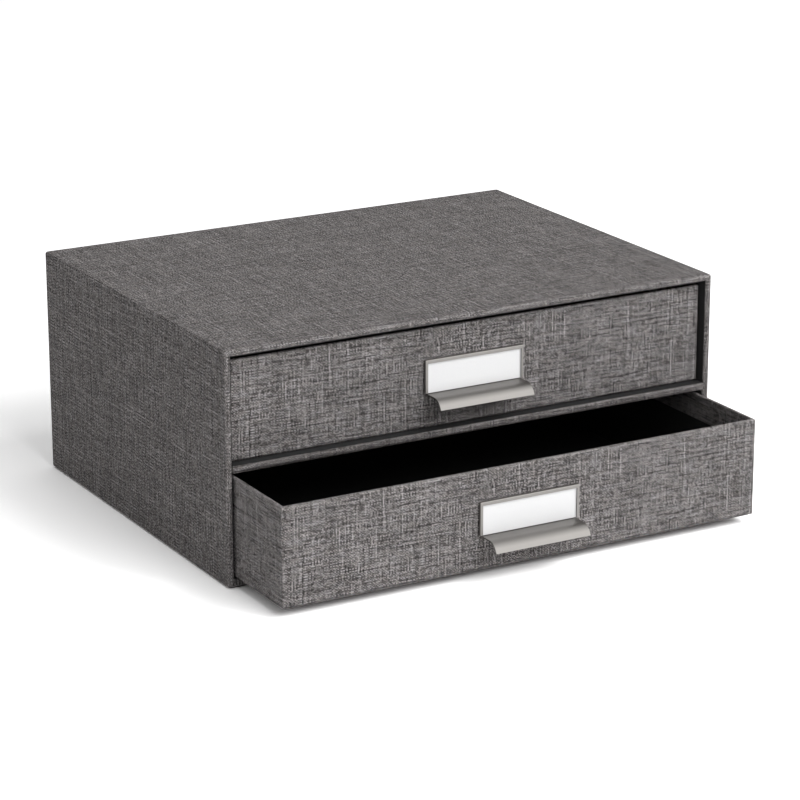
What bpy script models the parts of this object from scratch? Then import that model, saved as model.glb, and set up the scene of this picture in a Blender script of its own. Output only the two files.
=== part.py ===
# File box with two drawers: a fibreboard casing and two trays, all covered in linen paper.
# Metres, +X to the right, +Y to the back, +Z up. The origin is the middle of the casing's underside.

import math

import bmesh
import bpy
from mathutils import Vector

# Casing
CASING_WIDTH = 0.330
CASING_DEPTH = 0.252
CASING_HEIGHT = 0.142
CASING_BOARD = 0.0029
BASE_BOARD = 0.00375
SHELF_BOARD = 0.0040
SHELF_DROP = 0.0007
CASING_EDGE_RADIUS = 0.0009

# Papers and the glue lines between layers
PAPER = 0.00025
GLUE_LINE = 0.0003
CASING_TURN_IN = 0.0025
CASING_FLAP = 0.016
SHEET_MARGIN = 0.0015

# Drawers
DRAWER_BOARD = 0.0013
DRAWER_FLOOR_BOARD = 0.0013
DRAWER_RECESS = 0.006
DRAWER_PULLED_OUT = 0.063
SIDE_CLEARANCE = 0.0012
TOP_CLEARANCE = 0.0020
SLIDE_CLEARANCE = 0.0003
REAR_CLEARANCE = 0.00045
DRAWER_TURN_IN = 0.0155
DRAWER_FLAP = 0.010
DRAWER_EDGE_RADIUS = 0.0007

# Label holder with its finger pull, stamped from one sheet
HOLDER_SHEET = 0.0007
HOLDER_WIDTH = 0.067
HOLDER_HEIGHT = 0.0208
HOLDER_DROP = 0.01845
FLANGE_WIDTH = 0.0017
TOP_FLANGE_WIDTH = 0.0022
PULL_INSET = 0.00165
PULL_LEDGE_REACH = 0.0125
PULL_ROOT_RADIUS = 0.0005
PULL_BEND_RADIUS = 0.0033
PULL_BEND_ANGLE = math.radians(60)
PULL_LIP_LENGTH = 0.0049

# Label card and rivets
CARD_THICKNESS = 0.00035
CARD_CLEARANCE = 0.0003
RIVET_INSET = 0.0135
RIVET_DROP = 0.0098
RIVET_RADIUS = 0.0015
RIVET_HEAD_RADIUS = 0.0023
RIVET_TAIL_RADIUS = 0.0034
RIVET_TAIL_THICKNESS = 0.0007
RIVET_CLEARANCE = 0.0003

CUT_OVERRUN = 0.001
ARC_STEPS = 3
PULL_ARC_STEPS = 8
ROUND_STEPS = 24

# Part of a glue line within which points on a turned piece's axis count as one
MERGE_SHARE = 0.1

# Layers worked out from the sizes above
LAYER = PAPER + GLUE_LINE
CASING_WALL = 2 * LAYER + CASING_BOARD
BASE_WALL = 2 * LAYER + BASE_BOARD
BASE_TOP = LAYER + BASE_WALL
BACK_WALL = 3 * LAYER + CASING_BOARD
SHELF_THICKNESS = 2 * LAYER + SHELF_BOARD
DRAWER_WALL = 2 * LAYER + DRAWER_BOARD
DRAWER_FLOOR = 3 * LAYER + DRAWER_FLOOR_BOARD

# Places worked out from the sizes above
CASING_FRONT = -CASING_DEPTH / 2
CASING_BACK = CASING_DEPTH / 2
BAY_WIDTH = CASING_WIDTH - 2 * CASING_WALL
BAY_SPACE = CASING_HEIGHT - BASE_TOP - SHELF_THICKNESS - CASING_WALL
LOWER_BAY_HEIGHT = BAY_SPACE / 2 - SHELF_DROP
SHELF_BOTTOM = BASE_TOP + LOWER_BAY_HEIGHT
SHELF_TOP = SHELF_BOTTOM + SHELF_THICKNESS
BAY_BACK = CASING_BACK - BACK_WALL
BOARD_FRONT = CASING_FRONT + LAYER
BOARD_BACK = CASING_BACK - 2 * LAYER
DRAWER_WIDTH = BAY_WIDTH - 2 * SIDE_CLEARANCE
DRAWER_HEIGHT = LOWER_BAY_HEIGHT - SLIDE_CLEARANCE - TOP_CLEARANCE
DRAWER_LENGTH = BAY_BACK - REAR_CLEARANCE - CASING_FRONT - DRAWER_RECESS
HOLDER_TOP = DRAWER_HEIGHT - HOLDER_DROP
PULL_LEDGE_HEIGHT = HOLDER_TOP - HOLDER_HEIGHT
PLATE_FACE = GLUE_LINE + HOLDER_SHEET
CARD_BACK = PLATE_FACE + CARD_CLEARANCE
CARD_FACE = CARD_BACK + CARD_THICKNESS


def empty_scene():
    for item in list(bpy.data.objects):
        bpy.data.objects.remove(item, do_unlink=True)


def new_collection(name):
    collection = bpy.data.collections.new(name)
    bpy.context.scene.collection.children.link(collection)
    return collection


def new_material(name, color, roughness, metallic=0.0):
    material = bpy.data.materials.new(name)
    material.use_nodes = True
    shader = material.node_tree.nodes["Principled BSDF"]
    shader.inputs["Base Color"].default_value = (*color, 1.0)
    shader.inputs["Roughness"].default_value = roughness
    shader.inputs["Metallic"].default_value = metallic
    return material


def place(mesh, name, material, parent=None, location=(0, 0, 0), cutter=False):
    """Links a mesh as an object; a cutter stays out of the part."""
    item = bpy.data.objects.new(name, mesh)
    item.location = location
    item.parent = parent
    if cutter:
        item.hide_render = True
        item.display_type = "WIRE"
        cutters.objects.link(item)
        return item
    own_material = material.copy()
    own_material.name = name + "_finish"
    mesh.materials.append(own_material)
    box_parts.objects.link(item)
    return item


def mesh_from(bm, name):
    mesh = bpy.data.meshes.new(name)
    bmesh.ops.recalc_face_normals(bm, faces=bm.faces)
    if bm.calc_volume(signed=True) < 0:
        bmesh.ops.reverse_faces(bm, faces=bm.faces)
    bm.to_mesh(mesh)
    bm.free()
    return mesh


def add_box(name, low, high, material, parent=None):
    """A board or sheet between two corners; its origin is its middle."""
    low, high = Vector(low), Vector(high)
    bm = bmesh.new()
    bmesh.ops.create_cube(bm, size=1.0)
    bmesh.ops.scale(bm, vec=high - low, verts=bm.verts)
    middle = (low + high) / 2
    return place(mesh_from(bm, name), name, material, parent, middle)


def skinned_mesh(name, loops, closed_round):
    """Skins one loop of points to the next, then joins the last to the first or caps both ends."""
    bm = bmesh.new()
    rings = [[bm.verts.new(point) for point in points] for points in loops]
    following = rings[1:] + rings[:1] if closed_round else rings[1:]
    for ring, next_ring in zip(rings, following):
        around = zip(ring, ring[1:] + ring[:1], next_ring[1:] + next_ring[:1], next_ring)
        for corners in around:
            bm.faces.new(corners)
    if not closed_round:
        bm.faces.new(rings[0])
        bm.faces.new(rings[-1])
    return mesh_from(bm, name)


def arc(centre, radius, start, sweep, steps):
    """Points of an arc, both ends included, angles in radians."""
    angles = [start + sweep * step / steps for step in range(steps + 1)]
    return [
        (centre[0] + radius * math.cos(angle), centre[1] + radius * math.sin(angle))
        for angle in angles
    ]


def wrap_profile(wall, length, turn_in, flap, radius):
    """Section of a paper that wraps a wall: (distance in from the outer face, distance from the edge).

    It runs from the flap at the far end along the outer face, round the wall's edge and back inside.
    """
    quarter = math.pi / 2
    inner = radius - PAPER
    outer_corner = arc((radius, radius), radius, math.pi, quarter, ARC_STEPS)
    inner_corner = arc((wall - radius, radius), radius, -quarter, quarter, ARC_STEPS)
    back_of_inner = arc((wall - radius, radius), inner, 0, -quarter, ARC_STEPS)
    back_of_outer = arc((radius, radius), inner, -quarter, -quarter, ARC_STEPS)
    return (
        [(flap, length), (0, length)]
        + outer_corner
        + inner_corner
        + [(wall, turn_in), (wall - PAPER, turn_in)]
        + back_of_inner
        + back_of_outer
        + [(PAPER, length - PAPER), (flap, length - PAPER)]
    )


def add_thickness(item, thickness):
    """Gives an open surface its thickness on the side that its faces look away from."""
    sheet = item.modifiers.new("Sheet", "SOLIDIFY")
    sheet.thickness = thickness
    sheet.offset = -1.0
    sheet.use_even_offset = True


def cut_hole(item, tool):
    hole = item.modifiers.new("Hole", "BOOLEAN")
    hole.operation = "DIFFERENCE"
    hole.solver = "EXACT"
    hole.object = tool


def add_casing_cover():
    """The linen paper round the four walls, turned in at the front and lapped over the back board."""
    length = CASING_DEPTH - LAYER
    rest = (length, CASING_TURN_IN, CASING_FLAP, CASING_EDGE_RADIUS)
    side_profile = wrap_profile(CASING_WALL, *rest)
    base_profile = wrap_profile(BASE_WALL, *rest)
    loops = []
    for (inset, along), (rise, _) in zip(side_profile, base_profile):
        x = CASING_WIDTH / 2 - inset
        y = CASING_FRONT + along
        low, high = LAYER + rise, CASING_HEIGHT - inset
        loops.append([(-x, y, low), (x, y, low), (x, y, high), (-x, y, high)])
    mesh = skinned_mesh("casing_cover_paper", loops, closed_round=True)
    place(mesh, "casing_cover_paper", linen)


def add_casing_boards():
    outer_x = CASING_WIDTH / 2 - LAYER
    inner_x = outer_x - CASING_BOARD
    base_low = 2 * LAYER
    base_high = base_low + BASE_BOARD
    top_high = CASING_HEIGHT - LAYER
    top_low = top_high - CASING_BOARD
    side_low, side_high = base_high + GLUE_LINE, top_low - GLUE_LINE
    back_front = BOARD_BACK - CASING_BOARD
    between_x = inner_x - GLUE_LINE
    shelf_x = BAY_WIDTH / 2 - GLUE_LINE
    shelf_low = SHELF_BOTTOM + LAYER

    def board(name, low, high):
        add_box(name, low, high, greyboard)

    board(
        "casing_bottom_board",
        (-outer_x, BOARD_FRONT, base_low),
        (outer_x, BOARD_BACK, base_high),
    )
    board(
        "casing_top_board",
        (-outer_x, BOARD_FRONT, top_low),
        (outer_x, BOARD_BACK, top_high),
    )
    board(
        "casing_left_board",
        (-outer_x, BOARD_FRONT, side_low),
        (-inner_x, BOARD_BACK, side_high),
    )
    board(
        "casing_right_board",
        (inner_x, BOARD_FRONT, side_low),
        (outer_x, BOARD_BACK, side_high),
    )
    board(
        "casing_back_board",
        (-between_x, back_front, side_low),
        (between_x, BOARD_BACK, side_high),
    )
    board(
        "casing_shelf_board",
        (-shelf_x, BOARD_FRONT, shelf_low),
        (shelf_x, back_front - GLUE_LINE, shelf_low + SHELF_BOARD),
    )


def add_casing_sheets():
    """The plain sheets glued last, under the base and over the back."""
    x = CASING_WIDTH / 2 - SHEET_MARGIN
    add_box(
        "casing_base_sheet",
        (-x, CASING_FRONT + SHEET_MARGIN, 0),
        (x, CASING_BACK - SHEET_MARGIN, PAPER),
        linen,
    )
    add_box(
        "casing_back_sheet",
        (-x, CASING_BACK - PAPER, LAYER + SHEET_MARGIN),
        (x, CASING_BACK, CASING_HEIGHT - SHEET_MARGIN),
        linen,
    )


def add_shelf_cover():
    """The linen strip folded round the shelf's front edge, between the turned-in side papers."""
    radius, inner = CASING_EDGE_RADIUS, CASING_EDGE_RADIUS - PAPER
    quarter = math.pi / 2
    low, high = SHELF_BOTTOM, SHELF_TOP
    front, back = CASING_FRONT, CASING_FRONT + CASING_TURN_IN
    lower_centre = (front + radius, low + radius)
    upper_centre = (front + radius, high - radius)
    section = (
        [(back, high)]
        + arc(upper_centre, radius, quarter, quarter, ARC_STEPS)
        + arc(lower_centre, radius, math.pi, quarter, ARC_STEPS)
        + [(back, low), (back, low + PAPER)]
        + arc(lower_centre, inner, -quarter, -quarter, ARC_STEPS)
        + arc(upper_centre, inner, math.pi, -quarter, ARC_STEPS)
        + [(back, high - PAPER)]
    )
    x = BAY_WIDTH / 2 - GLUE_LINE
    loops = [[(side, y, z) for y, z in section] for side in (-x, x)]
    mesh = skinned_mesh("shelf_cover_paper", loops, closed_round=False)
    place(mesh, "shelf_cover_paper", linen)


def add_open_tray(name, low, high, open_side, material, parent=None):
    """A thin paper tray whose outer faces lie on the given corners, without the wall at open_side."""
    low, high = Vector(low), Vector(high)
    bm = bmesh.new()
    bmesh.ops.create_cube(bm, size=1.0)
    bmesh.ops.scale(bm, vec=high - low, verts=bm.verts)
    bm.normal_update()
    lid = max(bm.faces, key=lambda face: face.normal.dot(Vector(open_side)))
    bmesh.ops.delete(bm, geom=[lid], context="FACES")
    mesh = bpy.data.meshes.new(name)
    bm.to_mesh(mesh)
    bm.free()
    item = place(mesh, name, material, parent, (low + high) / 2)
    add_thickness(item, PAPER)
    return item


def add_bay_linings():
    x = BAY_WIDTH / 2 + PAPER
    front = CASING_FRONT + CASING_TURN_IN + GLUE_LINE
    back = BAY_BACK + PAPER
    bays = {
        "upper_bay_lining": (SHELF_TOP - PAPER, CASING_HEIGHT - CASING_WALL + PAPER),
        "lower_bay_lining": (BASE_TOP - PAPER, SHELF_BOTTOM + PAPER),
    }
    for name, (low, high) in bays.items():
        add_open_tray(name, (-x, front, low), (x, back, high), (0, -1, 0), lining)


def add_drawer_boards(name, parent):
    outer_x = DRAWER_WIDTH / 2 - LAYER
    inner_x = outer_x - DRAWER_BOARD
    front, back = LAYER, DRAWER_LENGTH - LAYER
    floor_low = 2 * LAYER
    floor_high = floor_low + DRAWER_FLOOR_BOARD
    low, high = floor_high + GLUE_LINE, DRAWER_HEIGHT - LAYER
    side_front = front + DRAWER_BOARD + GLUE_LINE
    side_back = back - DRAWER_BOARD - GLUE_LINE
    corners = {
        "floor_board": ((-outer_x, front, floor_low), (outer_x, back, floor_high)),
        "front_board": ((-outer_x, front, low), (outer_x, front + DRAWER_BOARD, high)),
        "back_board": ((-outer_x, back - DRAWER_BOARD, low), (outer_x, back, high)),
        "left_board": ((-outer_x, side_front, low), (-inner_x, side_back, high)),
        "right_board": ((inner_x, side_front, low), (outer_x, side_back, high)),
    }
    boards = {
        board: add_box(f"{name}_{board}", start, end, greyboard, parent)
        for board, (start, end) in corners.items()
    }
    return boards["front_board"]


def add_drawer_cover(name, parent):
    """The linen paper round the four walls, over the rim and down inside, and lapped under the floor."""
    length = DRAWER_HEIGHT - LAYER
    profile = wrap_profile(DRAWER_WALL, length, DRAWER_TURN_IN, DRAWER_FLAP, DRAWER_EDGE_RADIUS)
    loops = []
    for inset, down in profile:
        x = DRAWER_WIDTH / 2 - inset
        front, back, z = inset, DRAWER_LENGTH - inset, DRAWER_HEIGHT - down
        loops.append([(-x, front, z), (x, front, z), (x, back, z), (-x, back, z)])
    mesh = skinned_mesh(f"{name}_cover_paper", loops, closed_round=True)
    return place(mesh, f"{name}_cover_paper", linen, parent)


def add_drawer_lining(name, parent):
    """The black paper inside, from the floor up to the turned-in linen."""
    inset = DRAWER_WALL - PAPER
    x = DRAWER_WIDTH / 2 - inset
    low = (-x, inset, DRAWER_FLOOR - PAPER)
    high = (x, DRAWER_LENGTH - inset, DRAWER_HEIGHT - DRAWER_TURN_IN - GLUE_LINE)
    return add_open_tray(f"{name}_lining_paper", low, high, (0, 0, 1), lining, parent)


def add_drawer_base_sheet(name, parent):
    x = DRAWER_WIDTH / 2 - SHEET_MARGIN
    add_box(
        f"{name}_base_sheet",
        (-x, SHEET_MARGIN, 0),
        (x, DRAWER_LENGTH - SHEET_MARGIN, PAPER),
        linen,
        parent,
    )


def pull_profile():
    """Upper face of the pull below the plate, as (distance out from the drawer's face, height)."""
    quarter = math.pi / 2
    root_centre = (PLATE_FACE + PULL_ROOT_RADIUS, PULL_LEDGE_HEIGHT + PULL_ROOT_RADIUS)
    bend_centre = (PULL_LEDGE_REACH, PULL_LEDGE_HEIGHT - PULL_BEND_RADIUS)
    root = arc(root_centre, PULL_ROOT_RADIUS, math.pi, quarter, ARC_STEPS)
    bend = arc(bend_centre, PULL_BEND_RADIUS, quarter, -PULL_BEND_ANGLE, PULL_ARC_STEPS)
    tip = (
        bend[-1][0] + PULL_LIP_LENGTH * math.cos(PULL_BEND_ANGLE),
        bend[-1][1] - PULL_LIP_LENGTH * math.sin(PULL_BEND_ANGLE),
    )
    return root + bend + [tip]


def drawn_out(bm, edges, shift):
    """Extrudes edges, moves each new point by shift(point) and returns the new edges."""
    parts = bmesh.ops.extrude_edge_only(bm, edges=edges)["geom"]
    moved = {part for part in parts if isinstance(part, bmesh.types.BMVert)}
    for point in moved:
        point.co += Vector(shift(point.co))
    return [edge for edge in bm.edges if moved.issuperset(edge.verts)]


def add_label_holder(name, parent):
    """Plate, folded edges and pull as one bent sheet, drawn here by its faces next to the card."""
    edge_x = HOLDER_WIDTH / 2 - HOLDER_SHEET
    pull_x = HOLDER_WIDTH / 2 - PULL_INSET
    upper = HOLDER_TOP - HOLDER_SHEET
    fold_depth = CARD_FACE + CARD_CLEARANCE - PLATE_FACE
    fold_width = FLANGE_WIDTH - HOLDER_SHEET
    top_fold_width = TOP_FLANGE_WIDTH - HOLDER_SHEET
    profile = pull_profile()
    foot = profile[0][1]

    bm = bmesh.new()
    corners = [bm.verts.new((x, -PLATE_FACE, foot)) for x in (-edge_x, -pull_x, pull_x, edge_x)]
    bottom = [bm.edges.new(pair) for pair in zip(corners, corners[1:])]
    drawn_out(bm, bottom, lambda point: (0, 0, upper - foot))
    rim = [edge for edge in bm.edges if edge.is_boundary and edge not in bottom]
    front = drawn_out(bm, rim, lambda point: (0, -fold_depth, 0))

    def fold_in(point):
        at_side = abs(point.x) > (pull_x + edge_x) / 2
        at_top = point.z > (foot + upper) / 2
        sideways = -math.copysign(fold_width, point.x) if at_side else 0
        return (sideways, 0, -top_fold_width if at_top else 0)

    drawn_out(bm, front, fold_in)
    edge = [bottom[1]]
    for (out, height), (next_out, next_height) in zip(profile, profile[1:]):
        step = (0, out - next_out, next_height - height)
        edge = drawn_out(bm, edge, lambda point: step)

    bmesh.ops.recalc_face_normals(bm, faces=bm.faces)
    plate = max(bm.faces, key=lambda face: face.calc_area())
    if plate.normal.y > 0:
        bmesh.ops.reverse_faces(bm, faces=bm.faces)
    mesh = bpy.data.meshes.new(name)
    bm.to_mesh(mesh)
    bm.free()
    holder = place(mesh, name, nickel, parent)
    add_thickness(holder, HOLDER_SHEET)
    return holder


def turned(name, profile, material, parent, location, cutter=False):
    """A round piece from (radius, depth) points, front first. Its axis lies along Y, front to back."""
    bm = bmesh.new()
    points = [bm.verts.new((radius, 0, -depth)) for radius, depth in profile]
    for pair in zip(points, points[1:]):
        bm.edges.new(pair)
    mesh = bpy.data.meshes.new(name)
    bm.to_mesh(mesh)
    bm.free()
    item = place(mesh, name, material, parent, location, cutter)
    item.rotation_euler = (math.pi / 2, 0, 0)
    spin = item.modifiers.new("Turn", "SCREW")
    spin.steps = spin.render_steps = ROUND_STEPS
    spin.use_merge_vertices = True
    spin.merge_threshold = GLUE_LINE * MERGE_SHARE
    spin.use_smooth_shade = True
    return item


def rivet_profile():
    """Countersunk head at the plate's face, shank through the front wall, and the tail formed inside."""
    inside = PLATE_FACE + DRAWER_WALL + GLUE_LINE
    tail = inside + RIVET_TAIL_THICKNESS
    return [
        (0, 0),
        (RIVET_HEAD_RADIUS, 0),
        (RIVET_RADIUS, HOLDER_SHEET),
        (RIVET_RADIUS, inside),
        (RIVET_TAIL_RADIUS, inside),
        (RIVET_TAIL_RADIUS, tail),
        (0, tail),
    ]


def rivet_hole_profile():
    """The countersunk hole for a rivet, run out past both faces."""
    inside = PLATE_FACE + DRAWER_WALL + CUT_OVERRUN
    mouth = RIVET_HEAD_RADIUS + RIVET_CLEARANCE
    bore = RIVET_RADIUS + RIVET_CLEARANCE
    return [
        (0, -CUT_OVERRUN),
        (mouth, -CUT_OVERRUN),
        (mouth, 0),
        (bore, HOLDER_SHEET),
        (bore, inside),
        (0, inside),
    ]


def add_rivets(name, parent, pierced):
    """Two rivets that hold the label holder, and their holes in the layers they pass through."""
    for side, sign in (("left", -1), ("right", 1)):
        x = sign * (HOLDER_WIDTH / 2 - RIVET_INSET)
        location = (x, -PLATE_FACE, HOLDER_TOP - RIVET_DROP)
        rivet = f"{name}_{side}_rivet"
        turned(rivet, rivet_profile(), nickel, parent, location)
        hole = turned(rivet + "_hole", rivet_hole_profile(), None, parent, location, cutter=True)
        for layer in pierced:
            cut_hole(layer, hole)


def add_label_card(name, parent):
    x = HOLDER_WIDTH / 2 - HOLDER_SHEET - CARD_CLEARANCE
    low = (-x, -CARD_FACE, PULL_LEDGE_HEIGHT + CARD_CLEARANCE)
    high = (x, -CARD_BACK, HOLDER_TOP - HOLDER_SHEET - CARD_CLEARANCE)
    add_box(f"{name}_label_card", low, high, card_white, parent)


def add_drawer(name, floor_height, pulled_out):
    """One drawer. Its empty sits at the front, bottom and middle, and slides along Y."""
    slide = bpy.data.objects.new(f"{name}_slide", None)
    slide.location = (
        0,
        CASING_FRONT + DRAWER_RECESS - pulled_out,
        floor_height + SLIDE_CLEARANCE,
    )
    box_parts.objects.link(slide)
    front_board = add_drawer_boards(name, slide)
    cover = add_drawer_cover(name, slide)
    inner = add_drawer_lining(name, slide)
    add_drawer_base_sheet(name, slide)
    holder = add_label_holder(f"{name}_label_holder", slide)
    add_rivets(name, slide, [holder, front_board, cover, inner])
    add_label_card(name, slide)


empty_scene()
box_parts = new_collection("file_box_with_drawers")
cutters = new_collection("cutters")
linen = new_material("linen_paper", (0.165, 0.160, 0.155), 0.85)
lining = new_material("black_paper", (0.022, 0.021, 0.021), 0.80)
greyboard = new_material("greyboard", (0.33, 0.31, 0.28), 0.90)
nickel = new_material("satin_nickel", (0.62, 0.60, 0.56), 0.35, 1.0)
card_white = new_material("white_card", (0.86, 0.86, 0.87), 0.60)

add_casing_cover()
add_casing_boards()
add_casing_sheets()
add_shelf_cover()
add_bay_linings()
add_drawer("upper_drawer", SHELF_TOP, 0)
add_drawer("lower_drawer", BASE_TOP, DRAWER_PULLED_OUT)
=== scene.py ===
# File box with two drawers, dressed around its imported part.
# Metres, +X to the right, +Y to the back, +Z up; the dictionaries give lengths in mm.

import math

import bmesh
import bpy
from mathutils import Matrix, Vector


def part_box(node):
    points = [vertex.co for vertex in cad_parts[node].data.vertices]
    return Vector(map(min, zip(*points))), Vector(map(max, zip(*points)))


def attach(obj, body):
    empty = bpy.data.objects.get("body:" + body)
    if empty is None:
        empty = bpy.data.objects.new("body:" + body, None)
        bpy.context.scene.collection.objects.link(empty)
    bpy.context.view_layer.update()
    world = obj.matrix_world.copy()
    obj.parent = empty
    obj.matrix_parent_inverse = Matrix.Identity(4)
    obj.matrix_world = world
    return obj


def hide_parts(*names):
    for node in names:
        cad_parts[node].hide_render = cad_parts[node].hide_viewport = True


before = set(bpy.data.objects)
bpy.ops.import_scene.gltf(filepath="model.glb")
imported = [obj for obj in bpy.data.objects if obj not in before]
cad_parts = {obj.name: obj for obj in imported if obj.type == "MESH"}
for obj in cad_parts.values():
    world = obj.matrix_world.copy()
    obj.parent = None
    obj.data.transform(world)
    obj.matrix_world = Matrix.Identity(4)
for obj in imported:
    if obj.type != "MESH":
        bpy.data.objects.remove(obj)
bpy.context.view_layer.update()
mm = 0.001
tiny = 1e-6                    # places closer than this count as one
boxMiddle = Vector((0, 0, 0.07))
drawers = ("upper_drawer", "lower_drawer")
print("frame loaded:", len(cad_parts), "solids")


# small helpers for node trees

def newTree(name):
    material = bpy.data.materials.new(name)
    material.use_nodes = True
    tree = material.node_tree
    return material, tree, tree.nodes["Principled BSDF"]


def addNode(tree, kind, inputs=None, **settings):
    made = tree.nodes.new("ShaderNode" + kind)
    for key, value in settings.items():
        setattr(made, key, value)
    for key, value in (inputs or {}).items():
        if isinstance(value, bpy.types.NodeSocket):
            tree.links.new(value, made.inputs[key])
        else:
            made.inputs[key].default_value = value
    return made


def sums(tree, operation, *values):
    made = addNode(tree, "Math", dict(enumerate(values)), operation=operation)
    return made.outputs[0]


def remap(tree, value, fromLow, fromHigh, toLow, toHigh, smooth=False):
    kind = "SMOOTHSTEP" if smooth else "LINEAR"
    inputs = {0: value, 1: fromLow, 2: fromHigh, 3: toLow, 4: toHigh}
    return addNode(tree, "MapRange", inputs, interpolation_type=kind).outputs[0]


def joined(tree, x, y, z=0.0):
    return addNode(tree, "CombineXYZ", {0: x, 1: y, 2: z}).outputs[0]


def noise(tree, vector, detail=2.0, roughness=0.5, scale=1.0):
    inputs = {"Vector": vector, "Scale": scale, "Detail": detail, "Roughness": roughness}
    return addNode(tree, "TexNoise", inputs).outputs[0]


def spread(tree, value, low, high, reach=0.2):
    # a noise lies about 0.5: what is within reach of that is drawn out to low and high
    return remap(tree, value, 0.5 - reach, 0.5 + reach, low, high)


def blended(tree, factor, first, second, kind="MIX"):
    made = addNode(tree, "Mix", data_type="RGBA", blend_type=kind, clamp_factor=True)
    for index, value in ((0, factor), (6, first), (7, second)):
        if isinstance(value, bpy.types.NodeSocket):
            tree.links.new(value, made.inputs[index])
        else:
            made.inputs[index].default_value = value
    return made.outputs[2]


def grey(level, warmth=0.0):
    return (level * (1 + warmth), level, level * (1 - warmth), 1.0)


def setFinish(tree, shader, look, colour, rough, height):
    tree.links.new(colour, shader.inputs["Base Color"])
    tree.links.new(rough, shader.inputs["Roughness"])
    inputs = {"Strength": look["bump"], "Distance": look["bumpDepth"] * mm, "Height": height}
    bump = addNode(tree, "Bump", inputs)
    tree.links.new(bump.outputs[0], shader.inputs["Normal"])


# the linen paper: a plain weave, counted in mm on the strip's own map

linenLook = {
    "warpPitch": 0.94,         # between threads across the strip
    "weftPitch": 0.77,         # between threads along it
    "wander": 0.12,            # how far threads leave their lines
    "wanderScales": (0.045, 0.10),
    "weftOver": 0.62,          # tone where the weft lies on top, and the warp
    "warpOver": 0.33,
    "crossing": 0.12,          # how gradually one gives way to the other
    "weftStreak": 1.15,        # how much a thread's own tone counts
    "warpStreak": 1.45,
    "weftDrift": 0.045,        # how fast that tone drifts along the thread
    "warpDrift": 0.035,
    "drift": {"detail": 0.8, "roughness": 0.6},
    "contrast": 0.4,           # how much of its neighbour is taken off a thread's tone
    "cell": 0.24,              # how much the tone differs from crossing to crossing
    "fibre": 0.5,              # and from fibre to fibre
    "fibresPerThread": 2,
    "slub": 0.14,              # how much paler a slub is
    "slubScale": 0.07,
    "slubRange": (0.68, 0.80),
    "patch": 0.02,
    "patchScales": (0.05, 0.06),
    "gap": 0.12,               # how much darker the cloth is between the threads
    "ridge": 0.03,             # and how much paler on top of them
    "ridgeHeight": 0.8,
    "fold": 0.08,              # painted highlight: the paper is paler along its folds, for the light the rounded rims catch
    "foldRange": (0.5, 2.2),
    "darkThread": (0.12, 0.027, 0.02),    # tone, grey level and warmth
    "midThread": (0.5, 0.122, 0.03),
    "paleThread": (0.95, 0.48, 0.01),
    "tintScales": (0.12, 0.3),
    "coolTint": (1.01, 0.975, 0.995, 1),
    "warmTint": (1.045, 0.985, 0.975, 1),
    "roughTones": (0.2, 0.9),
    "roughness": (0.92, 0.74),
    "specular": 0.2,
    "bump": 0.5,
    "bumpDepth": 0.10,
}

# where in depth each noise is read, and how far on each next row of threads is
noiseDepths = {
    "weftBend": 0.0, "weftTone": 0.0, "patch": 5.0, "tint": 9.0,
    "warpTone": 20.0, "warpBend": 40.0, "slub": 60.0,
}
rowSteps = {"weft": 7.31, "warp": 5.77, "slub": 3.7}


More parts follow.
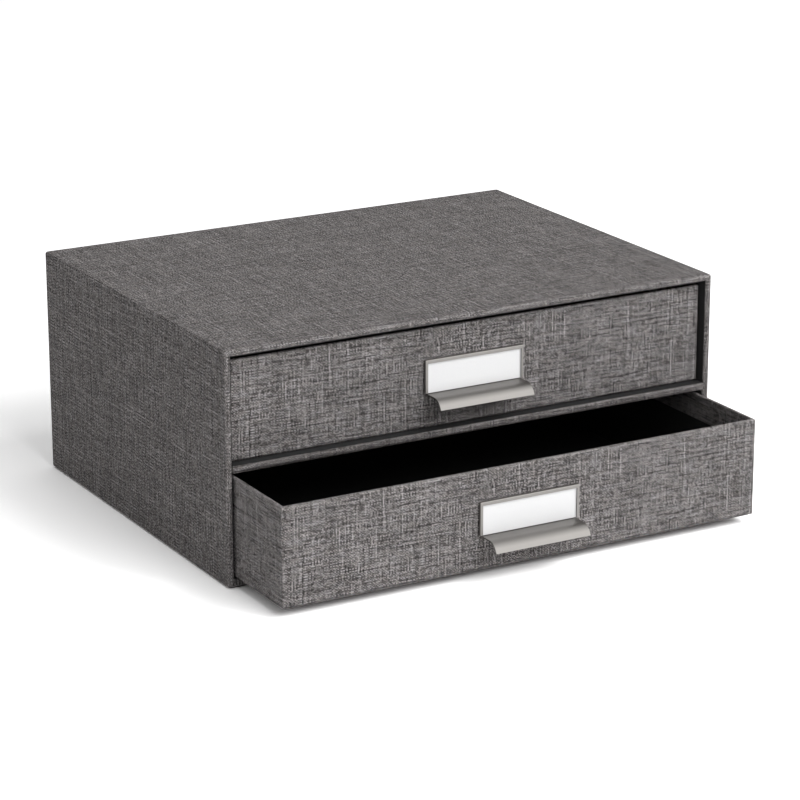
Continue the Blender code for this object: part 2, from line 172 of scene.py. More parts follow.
def linenPaper(name, contrast, lift):
    look = linenLook
    material, tree, shader = newTree(name)
    strip = addNode(tree, "UVMap", uv_map="weave").outputs[0]
    split = addNode(tree, "SeparateXYZ", {0: strip})
    along, across = split.outputs[0], split.outputs[1]

    def times(value, factor):
        return sums(tree, "MULTIPLY", value, factor)

    def cloudAt(alongScale, acrossScale, depth, detail=1.0):
        place = joined(tree, times(along, alongScale), times(across, acrossScale), noiseDepths[depth])
        return noise(tree, place, detail)

    # threads wander a little from their lines
    slow, quick = look["wanderScales"]
    weftBend = times(cloudAt(slow, quick, "weftBend"), look["wander"])
    warpBend = times(cloudAt(quick, slow, "warpBend"), look["wander"])
    weftAt = sums(tree, "DIVIDE", sums(tree, "ADD", across, weftBend), look["weftPitch"])
    warpAt = sums(tree, "DIVIDE", sums(tree, "ADD", along, warpBend), look["warpPitch"])
    weftRow = sums(tree, "FLOOR", weftAt)
    warpRow = sums(tree, "FLOOR", warpAt)

    # plain weave: at each crossing one of the two threads lies on top
    weftWave = sums(tree, "SINE", times(weftAt, math.pi))
    warpWave = sums(tree, "SINE", times(warpAt, math.pi))
    crossing = sums(tree, "MULTIPLY", weftWave, warpWave)
    weftOnTop = remap(tree, crossing, -look["crossing"], look["crossing"], 0.0, 1.0, smooth=True)

    # every thread has a tone of its own that drifts along it, and differs from its neighbour's
    def threadTone(row, kind, place):
        parts = []
        for shift in (0, 1):
            line = times(sums(tree, "ADD", row, shift), rowSteps[kind])
            spot = joined(tree, times(place, look[kind + "Drift"]), line, noiseDepths[kind + "Tone"])
            parts.append(sums(tree, "SUBTRACT", noise(tree, spot, **look["drift"]), 0.5))
        differing = sums(tree, "SUBTRACT", parts[0], times(parts[1], look["contrast"]))
        return sums(tree, "ADD", times(differing, look[kind + "Streak"]), look[kind + "Over"])

    weftTone = threadTone(weftRow, "weft", along)
    warpTone = threadTone(warpRow, "warp", across)
    thread = addNode(tree, "Mix", {0: weftOnTop, 2: warpTone, 3: weftTone}).outputs[0]

    # and the tone jumps a little from crossing to crossing and from fibre to fibre
    def speckle(rows, amount):
        grain = addNode(tree, "TexWhiteNoise", {0: joined(tree, *rows)}, noise_dimensions="2D").outputs[0]
        return remap(tree, grain, 0.0, 1.0, -amount / 2, amount / 2)

    cellPart = speckle((weftRow, warpRow), look["cell"])
    fibreRows = [sums(tree, "FLOOR", times(place, look["fibresPerThread"])) for place in (weftAt, warpAt)]
    fibrePart = speckle(fibreRows, look["fibre"])

    # slubs: short lengths of a thicker, paler thread
    slubRow = times(weftRow, rowSteps["slub"])
    slubPlace = joined(tree, times(along, look["slubScale"]), slubRow, noiseDepths["slub"])
    slubPart = remap(tree, noise(tree, slubPlace, 1.0), *look["slubRange"], 0.0, look["slub"])

    # soft patches, the gaps between threads, and the painted highlight along the folds
    patch = cloudAt(*look["patchScales"], "patch", 2.0)
    patchPart = spread(tree, patch, -look["patch"], look["patch"])
    ridges = {0: weftOnTop, 2: sums(tree, "ABSOLUTE", warpWave), 3: sums(tree, "ABSOLUTE", weftWave)}
    height = addNode(tree, "Mix", ridges).outputs[0]
    gapPart = remap(tree, height, 0.0, look["ridgeHeight"], -look["gap"], look["ridge"])
    fromFold = sums(tree, "ABSOLUTE", across)
    paintedFoldHighlight = remap(tree, fromFold, *look["foldRange"], look["fold"], 0.0, smooth=True)

    tone = thread
    for part in (cellPart, fibrePart, slubPart, patchPart, gapPart, paintedFoldHighlight):
        tone = sums(tree, "ADD", tone, part)
    middle = 0.5 + lift
    tone = remap(tree, tone, 0.0, 1.0, middle - contrast / 2, middle + contrast / 2)
    ramp = addNode(tree, "ValToRGB", {0: tone})
    stops = ramp.color_ramp.elements
    stops.new(0.5)
    for stop, key in zip(stops, ("darkThread", "midThread", "paleThread")):
        place, level, warmth = look[key]
        stop.position = place
        stop.color = grey(level, warmth)
    tint = spread(tree, cloudAt(*look["tintScales"], "tint"), 0.0, 1.0, reach=0.15)
    warmCool = blended(tree, tint, look["coolTint"], look["warmTint"])
    colour = blended(tree, 1.0, ramp.outputs[0], warmCool, "MULTIPLY")
    rough = remap(tree, tone, *look["roughTones"], *look["roughness"])
    setFinish(tree, shader, look, colour, rough, height)
    shader.inputs["Specular IOR Level"].default_value = look["specular"]
    return material


# black lining paper

blackLook = {
    "bay": 0.028,              # grey level in the casing's bays, and in the drawers, where the same paper is set darker as painted shade for their deep insides
    "drawer": 0.014,
    "fibre": {"scale": 900.0, "detail": 5.0, "roughness": 0.65},
    "cloud": {"scale": 30.0},
    "darkFibre": 0.8,          # against that level
    "paleFibre": 1.3,
    "worn": 1.5,
    "wear": 0.35,              # how much of the worn paper shows
    "roughness": (0.77, 0.95),
    "specular": 0.2,
    "bump": 0.3,
    "bumpDepth": 0.05,
}


def blackPaper(name, level):
    look = blackLook
    material, tree, shader = newTree(name)
    at = addNode(tree, "TexCoord").outputs["Object"]
    fibre = noise(tree, at, **look["fibre"])
    wear = spread(tree, noise(tree, at, **look["cloud"]), 0.0, look["wear"])
    colour = blended(tree, fibre, grey(level * look["darkFibre"]), grey(level * look["paleFibre"]))
    colour = blended(tree, wear, colour, grey(level * look["worn"]))
    setFinish(tree, shader, look, colour, spread(tree, fibre, *look["roughness"]), fibre)
    shader.inputs["Specular IOR Level"].default_value = look["specular"]
    return material


# solid fibreboard

fibreLook = {
    "speck": {"scale": 1400.0, "detail": 4.0, "roughness": 0.7},
    "ply": {"scale": 250.0},
    "plyStretch": (0.3, 0.3, 6.0),
    "darkSpeck": (0.27, 0.06),    # grey level and warmth
    "paleSpeck": (0.41, 0.09),
    "darkPly": (0.20, 0.05),
    "plyShows": 0.3,
    "roughness": (0.82, 0.95),
    "bump": 0.4,
    "bumpDepth": 0.08,
}


def fibreBoard():
    look = fibreLook
    material, tree, shader = newTree("fibreBoard")
    at = addNode(tree, "TexCoord").outputs["Object"]
    speck = noise(tree, at, **look["speck"])
    layers = addNode(tree, "Mapping", {0: at, 3: look["plyStretch"]}).outputs[0]
    ply = spread(tree, noise(tree, layers, **look["ply"]), 0.0, look["plyShows"], reach=0.15)
    colour = blended(tree, speck, grey(*look["darkSpeck"]), grey(*look["paleSpeck"]))
    colour = blended(tree, ply, colour, grey(*look["darkPly"]))
    setFinish(tree, shader, look, colour, spread(tree, speck, *look["roughness"]), speck)
    return material


# satin metal of the label holders

nickelLook = {
    "level": 0.54,
    "warmth": 0.045,
    "streak": 0.05,            # how much the drawn grain changes the level
    "grainStretch": (25.0, 2600.0, 2600.0),
    "grain": {"detail": 3.0, "roughness": 0.6},
    "haze": {"scale": 120.0, "detail": 3.0},
    "roughness": 0.45,
    "grainRough": 0.05,
    "hazeRough": 0.03,
    "upward": 0.48,            # painted shade: share of the level kept on a face that looks up, forward or aside
    "upwardRange": (0.5, 1.0),
    "forward": 0.70,
    "forwardRange": (0.1, 0.45),
    "sideways": 0.5,
    "sidewaysRange": (0.4, 0.9),
    "bump": 0.12,
    "bumpDepth": 0.02,
}


def satinNickel():
    look = nickelLook
    material, tree, shader = newTree("satinNickel")
    at = addNode(tree, "TexCoord").outputs["Object"]
    drawn = addNode(tree, "Mapping", {0: at, 3: look["grainStretch"]}).outputs[0]
    grain = noise(tree, drawn, **look["grain"])
    haze = noise(tree, at, **look["haze"])
    dark, pale = (grey(look["level"] * (1 + sign * look["streak"]), look["warmth"]) for sign in (-1, 1))
    colour = blended(tree, grain, dark, pale)

    # painted shade: faces that look up, straight forward or down, or aside are darkened for the shade they
    # get, so the sloping lip keeps the most
    turned = addNode(tree, "SeparateXYZ", {0: addNode(tree, "TexCoord").outputs["Normal"]})
    aside, facing = sums(tree, "ABSOLUTE", turned.outputs[0]), turned.outputs[2]
    upward = remap(tree, facing, *look["upwardRange"], 1.0, look["upward"], smooth=True)
    forward = remap(tree, facing, *look["forwardRange"], look["forward"], 1.0, smooth=True)
    sideways = remap(tree, aside, *look["sidewaysRange"], 1.0, look["sideways"], smooth=True)
    paintedShade = sums(tree, "MULTIPLY", sums(tree, "MULTIPLY", upward, forward), sideways)
    colour = blended(tree, 1.0, colour, joined(tree, paintedShade, paintedShade, paintedShade), "MULTIPLY")

    grainRough = spread(tree, grain, -look["grainRough"], look["grainRough"])
    smoothest, roughest = (look["roughness"] + sign * look["hazeRough"] for sign in (-1, 1))
    hazeRough = spread(tree, haze, smoothest, roughest)
    setFinish(tree, shader, look, colour, sums(tree, "ADD", grainRough, hazeRough), grain)
    shader.inputs["Metallic"].default_value = 1.0
    return material


# white card of the labels

whiteLook = {
    "fibre": {"scale": 1500.0, "detail": 4.0, "roughness": 0.6},
    "cloud": {"scale": 60.0},
    "darkFibre": (0.925, 0.928, 0.935, 1),
    "paleFibre": (0.955, 0.955, 0.958, 1),
    "cloudTint": (0.92, 0.922, 0.93, 1),
    "cloudShows": 0.3,
    "roughness": (0.5, 0.65),
    "bump": 0.2,
    "bumpDepth": 0.03,
}


def whiteCard():
    look = whiteLook
    material, tree, shader = newTree("whiteCard")
    at = addNode(tree, "TexCoord").outputs["Object"]
    fibre = noise(tree, at, **look["fibre"])
    cloud = spread(tree, noise(tree, at, **look["cloud"]), 0.0, look["cloudShows"])
    colour = blended(tree, spread(tree, fibre, 0.0, 1.0), look["darkFibre"], look["paleFibre"])
    colour = blended(tree, cloud, colour, look["cloudTint"])
    setFinish(tree, shader, look, colour, spread(tree, fibre, *look["roughness"]), fibre)
    return material


# painted light: the drawers get a copy of the same linen with more weave contrast, standing in for the
# grazing light on their fronts
casingLinen = linenPaper("casingLinen", contrast=1.12, lift=-0.01)
drawerLinenGrazingLit = linenPaper("drawerLinenGrazingLit", contrast=1.62, lift=0.0)
bayBlack = blackPaper("bayBlack", blackLook["bay"])
# painted shade: the drawers' black paper is the bays' paper at half the level
drawerBlackShaded = blackPaper("drawerBlackShaded", blackLook["drawer"])
board = fibreBoard()
nickel = satinNickel()
card = whiteCard()
print("finishes ready")


# helpers for pieces

def addPiece(bm, name, material, body, stands):
    mesh = bpy.data.meshes.new(name)
    bm.to_mesh(mesh)
    bm.free()
    mesh.materials.append(material)
    piece = bpy.data.objects.new(name, mesh)
    bpy.context.scene.collection.objects.link(piece)
    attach(piece, body)
    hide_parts(*stands)
    return piece


def addSheetWall(piece, thickness):
    # the thickness grows inwards from the faces
    wall = piece.modifiers.new("sheet", "SOLIDIFY")
    wall.thickness = thickness
    wall.offset = -1.0
    wall.use_even_offset = True


def roundEdges(bm, edges, radius, steps):
    if not edges:
        return
    made = bmesh.ops.bevel(
        bm, geom=edges, offset=radius, offset_type="OFFSET", segments=steps,
        profile=0.5, affect="EDGES", material=-1, clamp_overlap=True,
    )
    for face in made["faces"]:
        face.smooth = True


sharpAngle = math.radians(60)


def sharpEdges(bm, test=None):
    # edges between faces at more than sharpAngle; test(co) has to hold at both ends
    found = []
    for edge in bm.edges:
        if len(edge.link_faces) == 2 and edge.calc_face_angle(0) > sharpAngle:
            if test is None or all(test(point.co) for point in edge.verts):
                found.append(edge)
    return found


def edgesAlong(bm, axis):
    return [edge for edge in bm.edges if abs((edge.verts[0].co - edge.verts[1].co)[axis]) > tiny]


def drawOut(bm, edges, move):
    # extrudes a line of edges and puts each new point where move() says
    parts = bmesh.ops.extrude_edge_only(bm, edges=edges)["geom"]
    fresh = {part for part in parts if isinstance(part, bmesh.types.BMVert)}
    for point in fresh:
        point.co = Vector(move(point.co))
    return [edge for edge in bm.edges if fresh.issuperset(edge.verts)]


def turnOut(bm, middle):
    # makes the largest face, and the others with it, look away from the middle
    bmesh.ops.recalc_face_normals(bm, faces=bm.faces)
    best = max(bm.faces, key=lambda face: face.calc_area())
    if best.normal.dot(best.calc_center_median() - middle) < 0:
        bmesh.ops.reverse_faces(bm, faces=bm.faces)


def boxMesh(low, high):
    bm = bmesh.new()
    bmesh.ops.create_cube(bm, size=1.0)
    grown = Matrix.Translation((low + high) / 2) @ Matrix.Diagonal((*(high - low), 1))
    bmesh.ops.transform(bm, matrix=grown, verts=bm.verts)
    return bm


# the wrapped walls

def ringAt(box, depth, spot):
    low, lowQ, high, highQ = box
    corners = ((low, lowQ), (high, lowQ), (high, highQ), (low, highQ))
    return [spot(p, q, depth) for p, q in corners]


def wrapWalls(outer, inner, lap, length, turnIn, spot):
    # one strip of paper round four walls: lap, outer faces, rim and turn-in
    # outer, inner and lap are (low p, low q, high p, high q); spot(p, q, depth) gives the place
    bm = bmesh.new()
    was = ringAt(lap, length, spot)
    ring = [bm.verts.new(point) for point in was]
    edges = [bm.edges.new(pair) for pair in zip(ring, ring[1:] + ring[:1])]

    def nextPlace(co):
        return now[min(range(4), key=lambda number: (was[number] - co).length)]

    for box, depth in ((outer, length), (outer, 0.0), (inner, 0.0), (inner, turnIn)):
        now = ringAt(box, depth, spot)
        edges = drawOut(bm, edges, nextPlace)
        was = now
    return bm


levelSlope = 0.2               # a face that leans less than this lies along the wall


def layWrap(bm, outer, wall, length, undo, countDown):
    # the cloth runs round the walls, and from the lap over the rim into the inside
    # undo turns a place into (p, q, depth); the count starts at high q with countDown, else at low q
    low, lowQ, high, highQ = outer
    layer = bm.loops.layers.uv.new("weave")
    girth = highQ - lowQ

    def inset(p, q):
        return min(p - low, high - p, q - lowQ, highQ - q)

    for face in bm.faces:
        p, q, depth = undo(face.calc_center_median())
        beside = min(p - low, high - p) < min(q - lowQ, highQ - q)
        side = -1 if p < 0 else 1
        outside = inset(p, q) < wall / 4 and abs(undo(face.normal, False)[2]) < levelSlope
        for corner in face.loops:
            p, q, depth = undo(corner.vert.co)
            down = highQ - q if countDown else q - lowQ
            inward = inset(p, q)
            if outside:
                along = p + side * down
            elif beside:
                along = (high + down) if side > 0 else (low - down)
            else:
                along = p if down < girth / 2 else p + side * girth
            if depth > length - mm / 2:
                over = depth + inward
            else:
                over = (depth if inward < wall / 2 else -depth) - inward
            corner[layer].uv = (along / mm, over / mm)


casingLook = {"edgeRadius": 1.6, "innerRadius": 1.9, "steps": 6, "paper": 0.25, "turnIn": 2.75, "lap": 16.0}


def addCasingWrap():
    look = casingLook
    low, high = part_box("casing_cover_paper")
    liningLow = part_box("lower_bay_lining")[0]
    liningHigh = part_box("upper_bay_lining")[1]
    paper, lap = look["paper"] * mm, look["lap"] * mm
    inner = (liningLow.x + paper, liningLow.z + paper, liningHigh.x - paper, liningHigh.z - paper)
    outer = (low.x, low.z, high.x, high.z)
    lapBox = (low.x + lap, low.z + lap, high.x - lap, high.z - lap)
    length = high.y - low.y

    def spot(p, q, depth):
        return Vector((p, low.y + depth, q))

    def undo(place, shifted=True):
        return place.x, place.z, place.y - (low.y if shifted else 0.0)

    bm = wrapWalls(outer, inner, lapBox, length, look["turnIn"] * mm, spot)
    turnOut(bm, boxMiddle)
    opening = sharpEdges(bm, lambda co: abs(co.y - low.y) < tiny and abs(co.x) < high.x - mm)
    roundEdges(bm, opening, look["innerRadius"] * mm, look["steps"])
    outside = sharpEdges(bm, lambda co: abs(abs(co.x) - high.x) < tiny)
    roundEdges(bm, outside, look["edgeRadius"] * mm, look["steps"])
    layWrap(bm, outer, inner[0] - low.x, length, undo, countDown=True)
    piece = addPiece(bm, "casing_wrap", casingLinen, "casing", ["casing_cover_paper"])
    addSheetWall(piece, paper)


drawerLook = {
    "edgeRadius": 1.0, "innerRadius": 0.85, "steps": 4,
    "footRadius": 0.8, "footSteps": 6,
    "paper": 0.25, "turnIn": 15.5, "lap": 10.0,
}


def addDrawerWrap(drawer):
    look = drawerLook
    low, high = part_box(drawer + "_cover_paper")
    liningLow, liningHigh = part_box(drawer + "_lining_paper")
    paper, lap = look["paper"] * mm, look["lap"] * mm
    inner = (liningLow.x + paper, liningLow.y + paper, liningHigh.x - paper, liningHigh.y - paper)
    outer = (low.x, low.y, high.x, high.y)
    lapBox = (low.x + lap, low.y + lap, high.x - lap, high.y - lap)
    length = high.z - low.z

    def spot(p, q, depth):
        return Vector((p, q, high.z - depth))

    def undo(place, shifted=True):
        return place.x, place.y, (high.z if shifted else 0.0) - place.z

    def onSide(co):
        return abs(abs(co.x) - high.x) < tiny

    bm = wrapWalls(outer, inner, lapBox, length, look["turnIn"] * mm, spot)
    turnOut(bm, (low + high) / 2)
    rim = sharpEdges(bm, lambda co: abs(co.z - high.z) < tiny and abs(co.x) < high.x - mm)
    roundEdges(bm, rim, look["innerRadius"] * mm, look["steps"])
    foot = sharpEdges(bm, lambda co: onSide(co) and abs(co.z - low.z) < tiny)
    roundEdges(bm, foot, look["footRadius"] * mm, look["footSteps"])
    outside = sharpEdges(bm, lambda co: max(abs(co.x) - high.x, low.y - co.y, co.y - high.y) > -tiny)
    roundEdges(bm, outside, look["edgeRadius"] * mm, look["steps"])
    layWrap(bm, outer, inner[0] - low.x, length, undo, countDown=False)
    piece = addPiece(bm, drawer + "_wrap", drawerLinenGrazingLit, drawer, [drawer + "_cover_paper"])
    addSheetWall(piece, paper)


shelfLook = {"upperRadius": 0.5, "lowerRadius": 2.6, "steps": 6}


def addShelfWrap():
    look = shelfLook
    low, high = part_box("shelf_cover_paper")
    high.y = low.y + casingLook["turnIn"] * mm
    middle = (low + high) / 2
    bm = bmesh.new()
    ends = [bm.verts.new((x, high.y, low.z)) for x in (low.x, high.x)]
    edges = [bm.edges.new(ends)]
    for y, z in ((low.y, low.z), (low.y, high.z), (high.y, high.z)):
        edges = drawOut(bm, edges, lambda co: (co.x, y, z))
    turnOut(bm, middle)
    for height, radius in ((high.z, look["upperRadius"]), (low.z, look["lowerRadius"])):
        nose = sharpEdges(bm, lambda co: abs(co.y - low.y) < tiny and abs(co.z - height) < tiny)
        roundEdges(bm, nose, radius * mm, look["steps"])
    layer = bm.loops.layers.uv.new("weave")
    thickness = (high.z - low.z) / mm
    for face in bm.faces:
        for corner in face.loops:
            place = (corner.vert.co - low) / mm
            over = place.y if corner.vert.co.z > middle.z else -place.y
            corner[layer].uv = (place.x, place.z - thickness + over)
    piece = addPiece(bm, "shelf_wrap", casingLinen, "casing", ["shelf_cover_paper"])
    addSheetWall(piece, casingLook["paper"] * mm)


# over is the gap to the turned-in linen; the last values say how far behind the front the paper ends
liningLook = {
    "paper": 0.12, "over": 0.15, "corner": 3.0,
    "front": 1.0, "overShelf": 0.5, "underShelf": 2.7,
}


def addBayLining(bay, floorFront, roofFront):
    look = liningLook
    low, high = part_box(bay + "_bay_lining")
    inset = (casingLook["paper"] + look["over"]) * mm
    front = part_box("casing_cover_paper")[0].y
    side, floorAt, roofAt = high.x - inset, low.z + inset, high.z - inset
    foot, shoulder = floorAt + look["corner"] * mm, roofAt - look["corner"] * mm
    steps = [(floorAt, floorFront), (foot, "front"), (shoulder, "front"), (roofAt, roofFront)]
    heights = [(z, front + look[key] * mm) for z, key in steps]
    outline = [(side, y, z) for z, y in heights] + [(-side, y, z) for z, y in reversed(heights)]
    bm = bmesh.new()
    ring = [bm.verts.new(place) for place in outline]
    edges = [bm.edges.new(pair) for pair in zip(ring, ring[1:] + ring[:1])]
    edges = drawOut(bm, edges, lambda co: (co.x, high.y - inset, co.z))
    bmesh.ops.contextual_create(bm, geom=edges)
    bmesh.ops.recalc_face_normals(bm, faces=bm.faces)
    back = max(bm.faces, key=lambda face: face.calc_center_median().y)
    if back.normal.y > 0:
        bmesh.ops.reverse_faces(bm, faces=bm.faces)
    piece = addPiece(bm, bay + "_bay_paper", bayBlack, "casing", [bay + "_bay_lining"])
    addSheetWall(piece, look["paper"] * mm)


addCasingWrap()
addShelfWrap()
addBayLining("upper", "overShelf", "front")
addBayLining("lower", "front", "underShelf")
for drawer in drawers:
    addDrawerWrap(drawer)
print("papers wrapped")


# the plain sheets glued underneath and behind

sheetLook = {
    "cornerRadius": 1.2,
    "steps": 3,
    "shift": 400,              # starts the weave well away from the fold, which is at 0
}


def addPlainSheet(name, node, body, along, across):
    look = sheetLook
    low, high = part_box(node)
    thin = min(range(3), key=lambda axis: (high - low)[axis])
    bm = boxMesh(low, high)
    roundEdges(bm, edgesAlong(bm, thin), look["cornerRadius"] * mm, look["steps"])
    layer = bm.loops.layers.uv.new("weave")
    for face in bm.faces:
        for corner in face.loops:
            place = corner.vert.co / mm
            corner[layer].uv = (place[along], place[across] + look["shift"])
    finish = casingLinen if body == "casing" else drawerLinenGrazingLit
    addPiece(bm, name, finish, body, [node])


addPlainSheet("casing_underside", "casing_base_sheet", "casing", 0, 1)
addPlainSheet("casing_back_paper", "casing_back_sheet", "casing", 0, 2)
for drawer in drawers:
    addPlainSheet(drawer + "_underside", drawer + "_base_sheet", drawer, 0, 1)
print("plain sheets laid")


# boards with softened edges, so that they follow the paper round the rims

boardLook = {"casing": 1.4, "drawer": 0.5, "steps": 3}


def addBoard(node, body):
    bm = boxMesh(*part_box(node))
    radius = boardLook["casing" if body == "casing" else "drawer"]
    roundEdges(bm, sharpEdges(bm), radius * mm, boardLook["steps"])
    addPiece(bm, node.replace("_board", "_panel"), board, body, [node])


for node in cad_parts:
    if node.endswith("_board"):
        addBoard(node, next((drawer for drawer in drawers if node.startswith(drawer)), "casing"))
print("boards softened")


# label holders

holderLook = {
    "sheet": 0.7,
    "foldRadius": 0.74,
    "foldSteps": 4,
    "flange": 1.7,
    "topFlange": 2.2,
    "plateBack": 0.3,          # from the drawer's face
    "front": 2.65,
    "pullInset": 1.65,
    "ledge": 21.5,             # height of the ledge's upper face above the drawer's base
    "reach": 9.95,
    "rootRadius": 1.2,
    "rootSteps": 5,
    "bendRadius": 7.0,
    "bendAngle": 60.0,
    "bendSteps": 12,
    "lip": 2.35,
    "edgeRadius": 0.10,
    "edgeSteps": 2,
    "edgeAngle": 50.0,
}


def arcPoints(centre, radius, start, sweep, steps):
    turns = [math.radians(start + sweep * step / steps) for step in range(steps + 1)]
    return [(centre[0] + radius * math.cos(turn), centre[1] + radius * math.sin(turn)) for turn in turns]


def addHolder(drawer):
    look = holderLook
    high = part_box(drawer + "_label_holder")[1]
    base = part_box(drawer + "_base_sheet")[0].z
    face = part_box(drawer + "_cover_paper")[0].y
    sheet, back, front = (look[key] * mm for key in ("sheet", "plateBack", "front"))
    side, top = high.x, high.z
    pull = side - look["pullInset"] * mm
    under = base + look["ledge"] * mm - sheet
    root = look["rootRadius"] * mm
    foot = under + root

    # the plate, the rim that stands out from it, and the flanges over the card
    bm = bmesh.new()
    line = [bm.verts.new((x, face - back, foot)) for x in (-side, -pull, pull, side)]
    bottom = [bm.edges.new(pair) for pair in zip(line, line[1:])]
    drawOut(bm, bottom, lambda co: (co.x, co.y, top))
    border = [edge for edge in bm.edges if edge.is_boundary and edge not in bottom]
    rim = drawOut(bm, border, lambda co: (co.x, face - front, co.z))
    flange, topFlange = look["flange"] * mm, look["topFlange"] * mm

    def foldIn(co):
        x = co.x - math.copysign(flange, co.x) if abs(co.x) > pull + tiny else co.x
        z = co.z - topFlange if co.z > top - tiny else co.z
        return x, co.y, z

    drawOut(bm, rim, foldIn)

    # the pull: out from the plate's foot, round the bend and down the lip
    curve = arcPoints((back + root, foot), root, 180, 90, look["rootSteps"])[1:]
    bend = look["bendRadius"] * mm
    bendMiddle = (look["reach"] * mm, under - bend)
    curve += arcPoints(bendMiddle, bend, 90, -look["bendAngle"], look["bendSteps"])
    turn = math.radians(look["bendAngle"])
    tip = curve[-1]
    lip = look["lip"] * mm
    curve.append((tip[0] + lip * math.cos(turn), tip[1] - lip * math.sin(turn)))
    edge = [bottom[1]]
    for out, height in curve:
        edge = drawOut(bm, edge, lambda co: (co.x, face - out, height))

    bmesh.ops.recalc_face_normals(bm, faces=bm.faces)
    plate = max(bm.faces, key=lambda one: one.calc_area())
    if plate.normal.y < 0:
        bmesh.ops.reverse_faces(bm, faces=bm.faces)
    roundEdges(bm, sharpEdges(bm), look["foldRadius"] * mm, look["foldSteps"])
    for one in bm.faces:
        one.smooth = True
    piece = addPiece(bm, drawer + "_holder", nickel, drawer, [drawer + "_label_holder"])
    addSheetWall(piece, sheet)
    soft = piece.modifiers.new("edge", "BEVEL")
    soft.width = look["edgeRadius"] * mm
    soft.segments = look["edgeSteps"]
    soft.limit_method = "ANGLE"
    soft.angle_limit = math.radians(look["edgeAngle"])
    even = piece.modifiers.new("even", "WEIGHTED_NORMAL")
    even.keep_sharp = True


cardLook = {"cornerRadius": 0.6, "cornerSteps": 4, "edgeRadius": 0.06, "edgeSteps": 1}
thicknessAxis = 1


def addCard(drawer):
    look = cardLook
    bm = boxMesh(*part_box(drawer + "_label_card"))
    roundEdges(bm, edgesAlong(bm, thicknessAxis), look["cornerRadius"] * mm, look["cornerSteps"])
    roundEdges(bm, sharpEdges(bm), look["edgeRadius"] * mm, look["edgeSteps"])
    addPiece(bm, drawer + "_card", card, drawer, [drawer + "_label_card"])


for drawer in drawers:
    addHolder(drawer)
    addCard(drawer)
print("label holders fitted")


# finishes for the solids that stay

staying = {"_lining_paper": drawerBlackShaded, "_rivet": nickel}
for name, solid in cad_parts.items():
    for ending, material in staying.items():
        if name.endswith(ending):
            solid.data.materials.clear()
            solid.data.materials.append(material)
print("solids finished")


# camera, light and floor: metres and degrees, with the lens and its sensor in mm

cameraLook = {
    "place": (-0.9015, -1.6274, 0.6425),
    "azimuth": -29.4855,
    "elevation": 17.5779,
    "roll": -0.0732,
    "lens": 140.76,
    "sensor": 36.0,
    "near": 0.05,
    "far": 60.0,
}


def addCamera():
    look = cameraLook
    lens = bpy.data.cameras.new("camera")
    lens.lens = look["lens"]
    lens.sensor_width = look["sensor"]
    lens.clip_start = look["near"]
    lens.clip_end = look["far"]
    camera = bpy.data.objects.new("camera", lens)
    azimuth, elevation = math.radians(look["azimuth"]), math.radians(look["elevation"])
    toCamera = Vector((
        math.sin(azimuth) * math.cos(elevation),
        -math.cos(azimuth) * math.cos(elevation),
        math.sin(elevation),
    ))
    aim = toCamera.to_track_quat("Z", "Y").to_matrix()
    roll = Matrix.Rotation(math.radians(look["roll"]), 3, "Z")
    camera.matrix_world = Matrix.Translation(look["place"]) @ (aim @ roll).to_4x4()
    bpy.context.scene.collection.objects.link(camera)
    bpy.context.scene.camera = camera


sunLamps = {
    "key": {"direction": (0.41, -0.52, 1.0), "spread": 12.0, "strength": 0.24},
    "top": {"direction": (0.1, 0.5, 1.0), "spread": 60.0, "strength": 0.16},
}
sunDistance = 2.0
frontLamp = {"direction": (0.35, -1.0, 0.85), "distance": 2.2, "width": 2.2, "height": 1.1, "power": 35.0}


def placed(lamp, direction, distance):
    away = Vector(direction).normalized()
    turned = away.to_track_quat("Z", "Y").to_matrix().to_4x4()
    lamp.matrix_world = Matrix.Translation(away * distance + boxMiddle) @ turned
    lamp.visible_glossy = False
    bpy.context.scene.collection.objects.link(lamp)


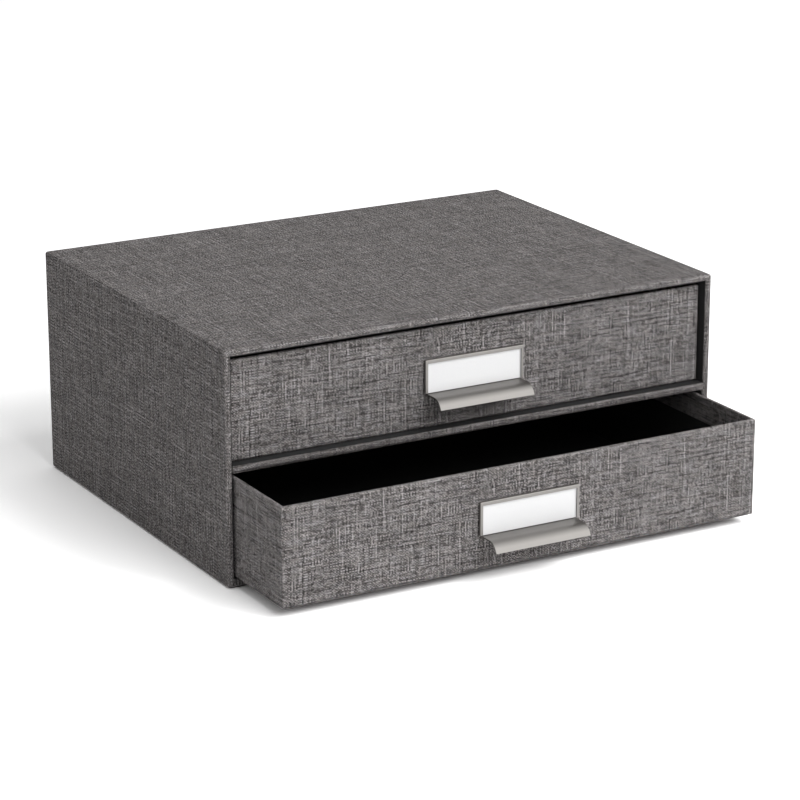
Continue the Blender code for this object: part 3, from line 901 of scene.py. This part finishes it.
def addLamps():
    for name, look in sunLamps.items():
        light = bpy.data.lights.new(name, "SUN")
        light.energy = look["strength"]
        light.angle = math.radians(look["spread"])
        placed(bpy.data.objects.new(name, light), look["direction"], sunDistance)
    look = frontLamp
    light = bpy.data.lights.new("front", "AREA")
    light.shape = "RECTANGLE"
    light.size = look["width"]
    light.size_y = look["height"]
    light.energy = look["power"]
    placed(bpy.data.objects.new("front", light), look["direction"], look["distance"])


surroundLook = {
    "ambient": 0.31,           # the world's light on the object; it looks white
    "floorSize": 8.0,
    "floor": 1.0,              # the floor's colour to the object, in mirrors and to the camera
    "mirrored": 1.2,
    "seen": 1.95,
}


def addWorld():
    world = bpy.data.worlds.new("studio")
    bpy.context.scene.world = world
    world.use_nodes = True
    tree = world.node_tree
    backdrop = tree.nodes["Background"]
    backdrop.inputs[0].default_value = (1, 1, 1, 1)
    path = addNode(tree, "LightPath").outputs
    mirrored = sums(tree, "MAXIMUM", path["Is Glossy Ray"], path["Is Transmission Ray"])
    shown = sums(tree, "MAXIMUM", path["Is Camera Ray"], mirrored)
    strength = addNode(tree, "Mix", {0: shown, 2: surroundLook["ambient"], 3: 1.0}).outputs[0]
    tree.links.new(strength, backdrop.inputs[1])


def addFloor():
    look = surroundLook
    bm = bmesh.new()
    bmesh.ops.create_grid(bm, x_segments=1, y_segments=1, size=look["floorSize"])
    mesh = bpy.data.meshes.new("floor")
    bm.to_mesh(mesh)
    bm.free()
    floor = bpy.data.objects.new("floor", mesh)
    bpy.context.scene.collection.objects.link(floor)
    material, tree, shader = newTree("floorFinish")
    tree.nodes.remove(shader)
    path = addNode(tree, "LightPath").outputs
    mirrored = sums(tree, "MAXIMUM", path["Is Glossy Ray"], path["Is Transmission Ray"])
    level = addNode(tree, "Mix", {0: mirrored, 2: look["floor"], 3: look["mirrored"]}).outputs[0]
    level = addNode(tree, "Mix", {0: path["Is Camera Ray"], 2: level, 3: look["seen"]}).outputs[0]
    diffuse = addNode(tree, "BsdfDiffuse", {0: joined(tree, level, level, level)})
    tree.links.new(diffuse.outputs[0], tree.nodes["Material Output"].inputs[0])
    mesh.materials.append(material)


addCamera()
addLamps()
addWorld()
addFloor()
bpy.context.scene.view_settings.view_transform = "Standard"
print("camera and light set")

bpy.context.view_layer.update()
